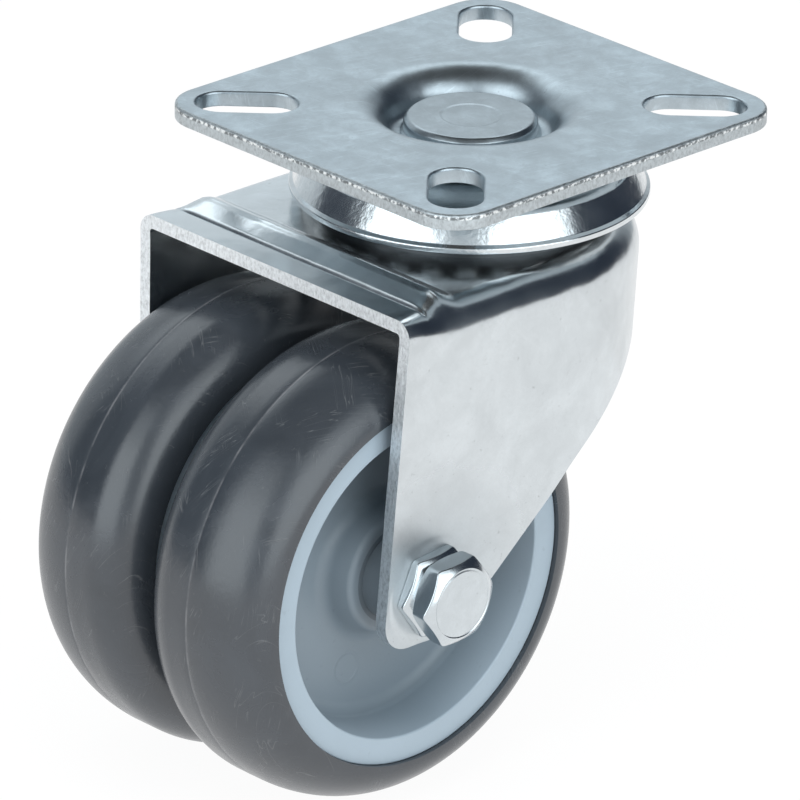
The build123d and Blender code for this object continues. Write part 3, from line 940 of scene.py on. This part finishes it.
class Shader(Nodes):
    """A material with short calls for the few nodes that the looks need. Noise scales are per metre."""

    def __init__(self, name, **values):
        self.material = bpy.data.materials.new(name)
        self.material.use_nodes = True
        super().__init__(self.material.node_tree)
        self.surface = self.tree.nodes["Principled BSDF"]
        for socket, value in values.items():
            self.surface.inputs[socket.replace("_", " ")].default_value = value

    def place(self, scale=(1, 1, 1), turn=(0, 0, 0)):
        """Object coordinates in metres, turned by degrees and then stretched by scale."""
        coords = self.add("ShaderNodeTexCoord")
        inputs = {"Vector": coords.outputs["Object"], "Rotation": [math.radians(angle) for angle in turn]}
        turned = self.add("ShaderNodeMapping", inputs)
        return self.add("ShaderNodeMapping", {"Vector": turned.outputs[0], "Scale": scale}).outputs[0]

    def axle_distance(self, offset=(0, 0)):
        """Distance from the wheel axle, or from a line beside it, offset in millimetres along X and Z."""
        line = ((AXLE.x + offset[0]) * MM, 0, (AXLE.z + offset[1]) * MM)
        inputs = {0: self.place((1, 0, 1)), 1: line}
        return self.add("ShaderNodeVectorMath", inputs, operation="DISTANCE").outputs["Value"]

    def noise(self, vector, scale, detail=3.0, roughness=0.5, distortion=0.0):
        inputs = {"Vector": vector, "Scale": scale, "Detail": detail}
        inputs.update({"Roughness": roughness, "Distortion": distortion})
        return self.add("ShaderNodeTexNoise", inputs).outputs["Fac"]

    def ramp(self, factor, *stops):
        """Colour ramp through (position, grey or colour) stops."""
        node = self.add("ShaderNodeValToRGB", {"Fac": factor})
        elements = node.color_ramp.elements
        while len(elements) < len(stops):
            elements.new(0.5)
        for element, (position, value) in zip(elements, stops):
            element.position = position
            element.color = (value, value, value, 1) if isinstance(value, (int, float)) else (*value, 1)
        return node.outputs["Color"]

    def slope(self, value, start, end, start_value=0.0, end_value=1.0):
        """Straight change from one value to another between two inputs."""
        inputs = {"Value": value, "From Min": start, "From Max": end}
        inputs.update({"To Min": start_value, "To Max": end_value})
        return self.add("ShaderNodeMapRange", inputs).outputs[0]

    def math(self, operation, a, b=0.0):
        return self.add("ShaderNodeMath", {0: a, 1: b}, operation=operation).outputs[0]

    def mix(self, factor, a, b, blend="MIX"):
        a, b = (value if isinstance(value, bpy.types.NodeSocket) else (*value, 1) for value in (a, b))
        inputs = {0: factor, 6: a, 7: b}
        return self.add("ShaderNodeMix", inputs, data_type="RGBA", blend_type=blend).outputs[2]

    def cover(self, base, mask, amount, colour):
        """Base colour with a share of another colour where the mask is."""
        return self.mix(self.math("MULTIPLY", mask, amount), base, colour)

    def bump(self, height, strength, distance, normal=None):
        inputs = {"Height": height, "Strength": strength, "Distance": distance}
        if normal is not None:
            inputs["Normal"] = normal
        return self.add("ShaderNodeBump", inputs).outputs["Normal"]

    def link(self, socket, output):
        self.tree.links.new(output, self.surface.inputs[socket])

    def scratches(self, turn, width, amount, scale=(30, 900, 30)):
        """Thin long marks, 0 to 1: the level lines of a stretched noise, kept in a few patches."""
        lines = self.noise(self.place(scale, turn), 1.0, 2.0)
        level = self.math("ABSOLUTE", self.math("SUBTRACT", lines, 0.5))
        thin = self.ramp(level, (0.0, 1.0), (width, 0.0))
        patches = self.noise(self.place(turn=turn), 140.0, 2.0)
        kept = self.ramp(patches, (1 - amount - 0.08, 0.0), (1 - amount, 1.0))
        return self.math("MULTIPLY", thin, kept)


def tinted(colour, factor):
    return tuple(min(1.0, channel * factor) for channel in colour)


def zinc(name, colour, roughness, cloud, blotch=0.12, stain=0.0, marks=0.1, grain=0.2, sparkle=0.12,
         waves=0.4, turn=20, dull_foot=0.0):
    """Zinc-plated steel: cloudy bluish plating with grain, dark specks, stains, scratches and soft waves.
    dull_foot roughens it round the axle, where the leg was pressed."""
    shader = Shader(name, Metallic=1.0, Base_Color=(*colour, 1), Roughness=roughness)
    vector = shader.place()
    clouds = shader.ramp(shader.noise(vector, 95.0, 4.0, 0.6, 0.6), (0.3, 0.0), (0.7, 1.0))
    base = shader.mix(clouds, tinted(colour, 1 - cloud), tinted(colour, 1 + cloud * 0.4))
    fine = shader.noise(vector, 2600.0, 3.0, 0.7)
    base = shader.cover(base, fine, grain, tinted(colour, 0.45))
    blots = shader.ramp(shader.noise(vector, 260.0, 5.0, 0.7, 0.4), (0.42, 1.0), (0.62, 0.0))
    base = shader.cover(base, blots, blotch, tinted(colour, 0.6))
    if stain > 0:
        patches = shader.ramp(shader.noise(vector, 34.0, 5.0, 0.62, 0.5), (0.36, 1.0), (0.52, 0.0))
        base = shader.cover(base, patches, stain, tinted(colour, 0.55))
    dots = shader.ramp(shader.noise(vector, 900.0, 3.0, 0.75), (0.66, 0.0), (0.72, 1.0))
    base = shader.cover(base, dots, 0.25, tinted(colour, 0.25))
    first = shader.scratches((15, 30, turn), 0.012, 0.5)
    second = shader.scratches((-20, 10, turn + 63), 0.01, 0.42)
    lines = shader.math("MAXIMUM", first, second)
    shader.link("Base Color", shader.cover(base, lines, marks, tinted(colour, 1.35)))
    satin = shader.ramp(clouds, (0.0, roughness - 0.03), (1.0, roughness + 0.05))
    if dull_foot > 0:
        pad = PAD_RADIUS * MM
        pressed = shader.slope(shader.axle_distance(), pad, 2.6 * pad, dull_foot, 0.0)
        satin = shader.math("ADD", satin, pressed)
    shader.link("Roughness", satin)
    soft = shader.bump(shader.noise(vector, 70.0, 2.0, 0.5), waves, 0.0012)
    cut = shader.bump(shader.noise(vector, 700.0, 3.0, 0.6), sparkle, 0.0002, soft)
    shader.link("Normal", shader.bump(lines, -marks * 0.5, 0.0001, cut))
    return shader.material


def sheared_zinc(name, colour, top=None):
    """Cut edge of the sheet: fine torn grain, with a speckled rolled rim below the height top, if given."""
    shader = Shader(name, Metallic=1.0, Base_Color=(*colour, 1), Roughness=0.4)
    torn = shader.noise(shader.place((1, 1, 0.6)), 1900.0, 4.0, 0.7)
    dark, middle, bright = (tinted(colour, share) for share in (0.68, 0.97, 1.15))
    shade = shader.ramp(torn, (0.3, dark), (0.5, middle), (0.7, bright))
    if top is not None:
        height = shader.add("ShaderNodeSeparateXYZ", {0: shader.place()}).outputs[2]
        below = shader.math("MULTIPLY", shader.math("SUBTRACT", top * MM, height), 1000.0)
        rim = shader.ramp(below, (0.3, 0.0), (0.4, 1.0), (0.75, 1.0), (0.95, 0.0))
        grit = shader.noise(shader.place(), 1500.0, 2.0, 0.6)
        dark, middle, bright = tinted(colour, 0.4), tinted(colour, 0.8), (0.88, 0.9, 0.9)
        speckle = shader.ramp(grit, (0.42, dark), (0.5, middle), (0.58, bright))
        shade = shader.mix(rim, shade, speckle)
    shader.link("Base Color", shade)
    shader.link("Normal", shader.bump(torn, 0.5, 0.0003))
    return shader.material


def steel(name, colour, roughness):
    """Plain turned or ground steel inside the bearing. Made near black, it is also the painted shade on the
    fork's neck.
    """
    shader = Shader(name, Metallic=1.0, Base_Color=(*colour, 1), Roughness=roughness)
    vector = shader.place()
    clouds = shader.noise(vector, 150.0, 4.0, 0.6)
    shader.link("Base Color", shader.mix(clouds, tinted(colour, 0.7), tinted(colour, 1.1)))
    shader.link("Normal", shader.bump(shader.noise(vector, 900.0, 3.0), 0.15, 0.0002))
    return shader.material


def plastic(name, colour, roughness):
    """Moulded plastic with a faint flow pattern and an eggshell grain."""
    shader = Shader(name, Base_Color=(*colour, 1), Roughness=roughness)
    vector = shader.place()
    clouds = shader.noise(vector, 60.0, 4.0, 0.55, 1.2)
    shader.link("Base Color", shader.mix(clouds, tinted(colour, 0.93), tinted(colour, 1.05)))
    shader.link("Normal", shader.bump(shader.noise(vector, 1800.0, 3.0, 0.6), 0.15, 0.0002))
    return shader.material


def hub_plastic():
    """Blue-grey nylon, with painted shade darkening the inside of the bowl, and the round mark of an ejector
    pin there.
    """
    colour = (0.39, 0.47, 0.535)
    shader = Shader("hub_plastic", Base_Color=(*colour, 1), Roughness=0.42)
    vector = shader.place()
    clouds = shader.noise(vector, 55.0, 4.0, 0.55, 1.4)
    base = shader.mix(clouds, tinted(colour, 0.93), tinted(colour, 1.05))
    spots = shader.ramp(shader.noise(vector, 700.0, 2.0), (0.7, 0.0), (0.75, 1.0))
    base = shader.cover(base, spots, 0.2, tinted(colour, 0.6))
    # Painted shade: inside the bowl the colour is cut to six tenths, rising to full at the bowl's rim.
    rim = shader.slope(shader.axle_distance(), (BOWL_RADIUS - 1) * MM, BOWL_RADIUS * MM)
    bowl_painted_shade = shader.mix(rim, (0.6, 0.6, 0.6), (1.0, 1.0, 1.0))
    shader.link("Base Color", shader.mix(1.0, base, bowl_painted_shade, "MULTIPLY"))
    away = shader.math("MULTIPLY", shader.axle_distance((-5.6, -16.1)), 200.0)
    mark = shader.ramp(away, (0.44, 0.0), (0.49, 1.0), (0.53, 1.0), (0.58, 0.6))
    fine = shader.bump(shader.noise(vector, 1500.0, 3.0, 0.6), 0.12, 0.0002)
    shader.link("Normal", shader.bump(mark, 0.35, 0.0003, fine))
    return shader.material


def tyre_rubber():
    """Grey thermoplastic rubber: satin, with scuffs, dust, fine nicks and a paler parting line."""
    colour = (0.037, 0.0435, 0.0525)
    shader = Shader("tyre_rubber", Base_Color=(*colour, 1), Roughness=0.3, Specular_IOR_Level=0.85)
    vector = shader.place()
    clouds = shader.ramp(shader.noise(vector, 80.0, 5.0, 0.6, 0.8), (0.3, 0.0), (0.7, 1.0))
    base = shader.mix(clouds, tinted(colour, 0.85), tinted(colour, 1.12))
    dust = shader.ramp(shader.noise(vector, 1100.0, 4.0, 0.8), (0.62, 0.0), (0.74, 1.0))
    base = shader.cover(base, dust, 0.25, (0.14, 0.14, 0.14))
    first = shader.scratches((10, 50, 40), 0.008, 0.4, (60, 1100, 60))
    second = shader.scratches((35, -25, 110), 0.007, 0.36, (60, 900, 60))
    lines = shader.math("MAXIMUM", first, second)
    base = shader.cover(base, lines, 0.45, (0.16, 0.165, 0.17))
    depth = shader.math("ABSOLUTE", shader.add("ShaderNodeSeparateXYZ", {0: vector}).outputs[1])
    from_line = shader.math("ABSOLUTE", shader.math("SUBTRACT", depth, PARTING_DEPTH * MM))
    parting = shader.ramp(shader.math("MULTIPLY", from_line, 1000.0), (0.1, 1.0), (0.24, 0.0))
    worn = shader.ramp(shader.noise(vector, 220.0, 3.0), (0.4, 0.15), (0.62, 1.0))
    base = shader.cover(base, shader.math("MULTIPLY", parting, worn), 0.6, (0.2, 0.2, 0.21))
    shader.link("Base Color", base)
    shader.link("Roughness", shader.ramp(clouds, (0.0, 0.2), (1.0, 0.31)))
    fine = shader.bump(shader.noise(vector, 1300.0, 4.0, 0.65), 0.12, 0.0002)
    shader.link("Normal", shader.bump(lines, 0.2, 0.0001, fine))
    return shader.material


def make_looks():
    """Every material by name."""
    return {
        "zinc_plate": zinc("zinc_plate", (0.59, 0.67, 0.72), roughness=0.34, cloud=0.24, blotch=0.45,
                           marks=0.25, grain=0.3, waves=0.5),
        "zinc_bright": zinc("zinc_bright", (0.8, 0.84, 0.86), roughness=0.19, cloud=0.1, blotch=0.2,
                            marks=0.05, sparkle=0.3, turn=70),
        "zinc_rivet": zinc("zinc_rivet", (0.5, 0.565, 0.605), roughness=0.3, cloud=0.2, blotch=0.45,
                           waves=0.3, turn=110),
        "zinc_fork": zinc("zinc_fork", (0.735, 0.78, 0.805), roughness=0.22, cloud=0.1, blotch=0.1,
                          stain=0.22, marks=0.04, waves=0.5, turn=-35, dull_foot=0.3),
        "zinc_fastener": zinc("zinc_fastener", (0.7, 0.75, 0.78), roughness=0.2, cloud=0.08,
                              marks=0.05, waves=0.2, turn=50),
        "plate_edge": sheared_zinc("plate_edge", (0.52, 0.56, 0.58), PLATE_HIGH.z),
        "fork_edge": sheared_zinc("fork_edge", (0.8, 0.83, 0.85)),
        # Painted shade: near-black metal for the fork's neck, standing for the shade under the cap's lip.
        "neck_painted_shade": steel("neck_painted_shade", (0.1, 0.105, 0.11), 0.3),
        "steel_inner": steel("steel_inner", (0.42, 0.43, 0.44), 0.34),
        "ball_steel": steel("ball_steel", (0.62, 0.63, 0.64), 0.12),
        "hub_plastic": hub_plastic(),
        "tyre_rubber": tyre_rubber(),
        "bush_plastic": plastic("bush_plastic", (0.15, 0.18, 0.205), 0.45),
        "nut_plastic": plastic("nut_plastic", (0.6, 0.6, 0.57), 0.5),
    }


# ---- studio -------------------------------------------------------------------------
SOFTBOX = 2.3               # radiance of a lit wall of the studio
WALLS = [                   # (azimuth, share of SOFTBOX); azimuth 0 is in front, along -Y, 90 is along +X
    (-180, 0.30), (-162, 0.28), (-155, 0.02), (-122, 0.02),
    (-112, 1.0), (-68, 1.0), (-60, 0.26), (-38, 0.26),
    (-30, 1.0), (18, 1.0), (28, 0.012), (95, 0.012),
    (106, 0.2), (132, 0.38), (160, 0.33), (180, 0.30),
]
COVE = [                    # the same for the strip where the walls meet the ceiling
    (-180, 0.8), (-168, 0.5), (-155, 0.05), (-122, 0.05),
    (-110, 0.6), (-70, 0.6), (-60, 0.25), (-38, 0.25),
    (-30, 0.6), (18, 0.6), (28, 0.02), (102, 0.02),
    (108, 0.9), (120, 0.9), (135, 0.8), (180, 0.8),
]
COVE_ELEVATIONS = (34, 40)          # the walls fade into the cove between these, in degrees
CEILING_ELEVATIONS = (50, 56)
CEILING = 0.03                      # share of SOFTBOX


def add_floor():
    """A plain pale floor under the wheels, lit from within a little so that it stays even."""
    half = 0.7
    height = cad_box[0].z - 0.0002
    mesh = bpy.data.meshes.new("floor")
    corners = [(-half, -half, height), (half, -half, height), (half, half, height), (-half, half, height)]
    mesh.from_pydata(corners, [], [(0, 1, 2, 3)])
    floor = bpy.data.objects.new("floor", mesh)
    bpy.context.scene.collection.objects.link(floor)
    shader = Shader("studio_floor", Base_Color=(0.06, 0.06, 0.06, 1), Roughness=0.9, Specular_IOR_Level=0.0,
                    Emission_Color=(1, 1, 1, 1), Emission_Strength=0.95)
    mesh.materials.append(shader.material)


def fill_ramp(node, stops):
    """Sets a colour ramp round the horizon from (azimuth, level) stops."""
    elements = node.color_ramp.elements
    while len(elements) < len(stops):
        elements.new(0.5)
    for element, (angle, level) in zip(elements, stops):
        element.position = (angle + 180) / 360
        element.color = (0.9 * level, 0.97 * level + 0.003, level + 0.01, 1)


def add_world():
    """Studio walls of lit and dark panels round the object, a dim ceiling, and a white backdrop."""
    world = bpy.data.worlds.new("studio")
    bpy.context.scene.world = world
    world.use_nodes = True
    world.node_tree.nodes.clear()
    add = Nodes(world.node_tree).add
    ray = add("ShaderNodeSeparateXYZ", {0: add("ShaderNodeTexCoord").outputs["Generated"]}).outputs
    front = add("ShaderNodeMath", {0: ray[1], 1: -1.0}, operation="MULTIPLY").outputs[0]
    azimuth = add("ShaderNodeMath", {0: ray[0], 1: front}, operation="ARCTAN2").outputs[0]
    share = add("ShaderNodeMath", {0: azimuth, 1: 0.5 / math.pi, 2: 0.5}, operation="MULTIPLY_ADD").outputs[0]
    walls = add("ShaderNodeValToRGB", {0: share})
    fill_ramp(walls, WALLS)
    cove = add("ShaderNodeValToRGB", {0: share})
    fill_ramp(cove, COVE)

    def above(below, upper, elevations):
        """Blends from one colour below to another above, between two elevations."""
        low, high = (math.sin(math.radians(angle)) for angle in elevations)
        inputs = {"Value": ray[2], "From Min": low, "From Max": high}
        height = add("ShaderNodeMapRange", inputs, interpolation_type="SMOOTHSTEP").outputs[0]
        return add("ShaderNodeMix", {0: height, 6: below, 7: upper}, data_type="RGBA").outputs[2]

    lower = above(walls.outputs[0], cove.outputs[0], COVE_ELEVATIONS)
    room = above(lower, (CEILING, CEILING, CEILING, 1), CEILING_ELEVATIONS)
    lit = add("ShaderNodeBackground", {0: room, 1: SOFTBOX}).outputs[0]
    plain = add("ShaderNodeBackground", {0: (1, 1, 1, 1), 1: 1.0}).outputs[0]
    seen = add("ShaderNodeLightPath").outputs["Is Camera Ray"]
    surface = add("ShaderNodeMixShader", {0: seen, 1: lit, 2: plain}).outputs[0]
    add("ShaderNodeOutputWorld", {0: surface})


def add_overhead_light():
    """A square soft light above the front, aimed at the object's middle and left out of its reflections."""
    distance, side, power = 1.5, 1.2, 14
    towards = direction(-44, 75)
    light = bpy.data.lights.new("overhead", "AREA")
    light.shape = "RECTANGLE"
    light.size = light.size_y = side
    light.energy = power
    lamp = bpy.data.objects.new("overhead", light)
    bpy.context.scene.collection.objects.link(lamp)
    lamp.location = Vector((0, 0, -0.05)) + towards * distance
    lamp.rotation_mode = "QUATERNION"
    lamp.rotation_quaternion = (-towards).to_track_quat("-Z", "Y")
    lamp.visible_camera = False
    lamp.visible_glossy = False


# ---- the scene ----------------------------------------------------------------------
KEPT = {                    # materials of the CAD nodes that stay as they are
    "steel_inner": ["spacer_sleeve", "axle_tube"],
    "ball_steel": ["upper_balls", "lower_balls"],
    "nut_plastic": ["lock_nut_ring"],
    "bush_plastic": ["hub_spacer", "near_thrust_collar", "far_thrust_collar", "near_bush", "far_bush"],
}


def paint(node, material):
    """Gives a CAD node that stays as it is its material."""
    mesh = nodes[node].data
    mesh.materials.clear()
    mesh.materials.append(material)


def main():
    looks = make_looks()
    add_camera()
    add_floor()
    add_world()
    add_overhead_light()
    add_plate(looks)
    add_cap(looks)
    add_king_pin(looks)
    add_lower_race(looks)
    add_fork(looks)
    add_bolt(looks)
    add_wheels(looks)
    for look, kept_nodes in KEPT.items():
        for node in kept_nodes:
            paint(node, looks[look])
    bpy.context.scene.view_settings.view_transform = "Standard"


main()
